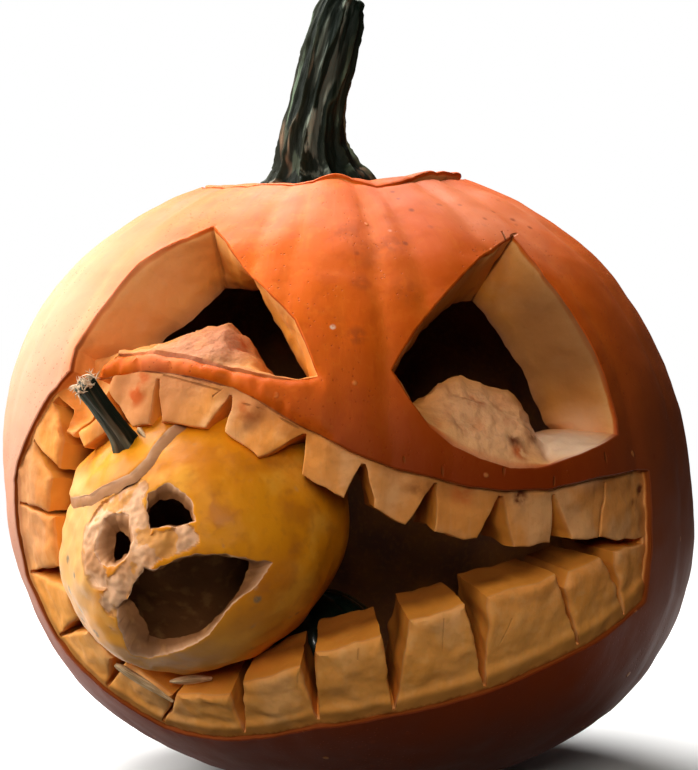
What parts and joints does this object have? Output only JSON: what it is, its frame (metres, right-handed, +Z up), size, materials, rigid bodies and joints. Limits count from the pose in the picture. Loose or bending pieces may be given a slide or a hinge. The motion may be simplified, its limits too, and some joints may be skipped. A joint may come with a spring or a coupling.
{
  "type": "carved pumpkin lantern",
  "caption": "Hollow carved pumpkin lantern with a lifting lid, slanted eyes and a toothed mouth that bites on a smaller carved pumpkin.",
  "frame": {"origin": "middle of the flat spot that the big pumpkin rests on, under its stem", "axes": "+Z up along the stem, -Y towards the viewer of the carved face, +X to that viewer's right"},
  "size_m": [0.3008, 0.3052, 0.3389],
  "materials": {
    "orange_rind": "waxy orange pumpkin rind over pale flesh",
    "yellow_rind": "lumpy yellow rind with green spots",
    "dark_green_rind": "glossy dark green rind",
    "pale_wood": "split raw wood"
  },
  "bodies": {
    "root": {"pumpkin_shell": "orange_rind", "pumpkin_lid": "orange_rind", "small_pumpkin": "yellow_rind", "small_lid": "yellow_rind", "dark_gourd": "dark_green_rind", "pick_left": "pale_wood", "pick_right": "pale_wood", "pick_upper": "pale_wood"}
  },
  "joints": []
}
